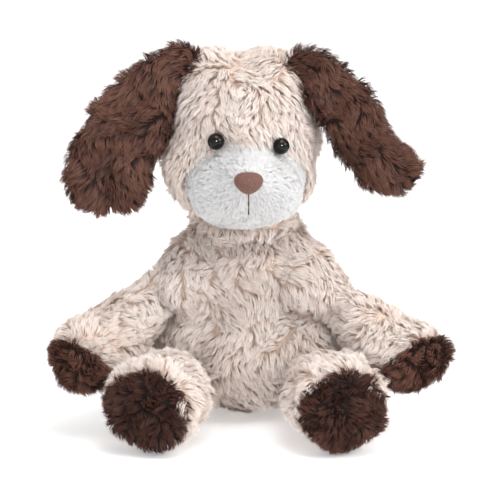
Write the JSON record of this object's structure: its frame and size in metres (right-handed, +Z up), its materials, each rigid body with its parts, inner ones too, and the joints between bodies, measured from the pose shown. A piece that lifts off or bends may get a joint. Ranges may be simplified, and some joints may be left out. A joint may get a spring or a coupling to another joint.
{
  "type": "seated plush dog",
  "caption": "Seated stuffed toy dog with floppy ears, fabric muzzle, padded paws, and limbs, head, ears and tail that move at their sewn seams.",
  "frame": {"origin": "on the surface the toy sits on, under the middle of its outer box", "axes": "+Z up, front of the toy faces -Y, +X to the right as seen from the front"},
  "size_m": [0.2868, 0.2155, 0.274],
  "materials": {
    "cream_pile": "matte",
    "brown_pile": "matte",
    "white_pile": "matte",
    "nose_suede": "matte",
    "thread": "matte",
    "fibre_fill": "matte",
    "pellet_bag": "matte",
    "eye_plastic": "gloss",
    "washer_plastic": "satin"
  },
  "bodies": {
    "torso": {"body_cover": "cream_pile", "body_stuffing": "fibre_fill", "seat_pellet_bag": "pellet_bag", "back_closing_stitches": "thread"},
    "neck": {"neck_cover": "cream_pile", "neck_stuffing": "fibre_fill"},
    "head": {"head_cover": "cream_pile", "head_stuffing": "fibre_fill", "muzzle_patch": "white_pile", "nose_patch": "nose_suede", "mouth_stitch": "thread", "left_eye": "eye_plastic", "right_eye": "eye_plastic", "left_eye_washer": "washer_plastic", "right_eye_washer": "washer_plastic"},
    "left_ear": {"left_ear_cover": "brown_pile", "left_ear_wadding": "fibre_fill"},
    "right_ear": {"right_ear_cover": "brown_pile", "right_ear_wadding": "fibre_fill"},
    "left_arm": {"left_arm_cover": "cream_pile", "left_arm_stuffing": "fibre_fill", "left_paw_pad": "brown_pile"},
    "right_arm": {"right_arm_cover": "cream_pile", "right_arm_stuffing": "fibre_fill", "right_paw_pad": "brown_pile"},
    "left_leg": {"left_leg_cover": "cream_pile", "left_leg_stuffing": "fibre_fill", "left_foot_pad": "brown_pile"},
    "right_leg": {"right_leg_cover": "cream_pile", "right_leg_stuffing": "fibre_fill", "right_foot_pad": "brown_pile"},
    "tail": {"tail_cover": "brown_pile", "tail_stuffing": "fibre_fill"}
  },
  "joints": [
    {"name": "neck_turn", "type": "hinge", "parent": "torso", "child": "neck", "pos_m": [-0.003, 0.02, 0.146], "axis": [0, 0, 1], "range_deg": [-30, 30], "stiffness_Nm_per_rad": 0.15},
    {"name": "head_nod", "type": "hinge", "parent": "neck", "child": "head", "pos_m": [-0.003, 0.02, 0.146], "axis": [1, 0, 0], "range_deg": [-18, 18], "stiffness_Nm_per_rad": 1.2},
    {"name": "left_ear_lift", "type": "hinge", "parent": "head", "child": "left_ear", "pos_m": [-0.042, 0.003, 0.258], "axis": [0, 1, 0], "range_deg": [0, 60], "stiffness_Nm_per_rad": 0.05},
    {"name": "right_ear_lift", "type": "hinge", "parent": "head", "child": "right_ear", "pos_m": [0.033, 0.003, 0.259], "axis": [0, -1, 0], "range_deg": [0, 45], "stiffness_Nm_per_rad": 0.05},
    {"name": "left_shoulder_swing", "type": "hinge", "parent": "torso", "child": "left_arm", "pos_m": [-0.06, -0.001, 0.1], "axis": [-0.7071, 0.7071, 0], "range_deg": [0, 60], "stiffness_Nm_per_rad": 0.3},
    {"name": "right_shoulder_swing", "type": "hinge", "parent": "torso", "child": "right_arm", "pos_m": [0.056, -0.001, 0.1], "axis": [-0.7071, -0.7071, 0], "range_deg": [0, 60], "stiffness_Nm_per_rad": 0.3},
    {"name": "left_hip_lift", "type": "hinge", "parent": "torso", "child": "left_leg", "pos_m": [-0.046, -0.024, 0.0375], "axis": [-0.9659, 0.2588, 0], "range_deg": [0, 17], "stiffness_Nm_per_rad": 0.5},
    {"name": "right_hip_lift", "type": "hinge", "parent": "torso", "child": "right_leg", "pos_m": [0.042, -0.024, 0.0375], "axis": [-0.9659, -0.2588, 0], "range_deg": [0, 17], "stiffness_Nm_per_rad": 0.5},
    {"name": "tail_wag", "type": "hinge", "parent": "torso", "child": "tail", "pos_m": [-0.002, 0.08, 0.034], "axis": [0, 0, 1], "range_deg": [-25, 25], "stiffness_Nm_per_rad": 0.02}
  ]
}
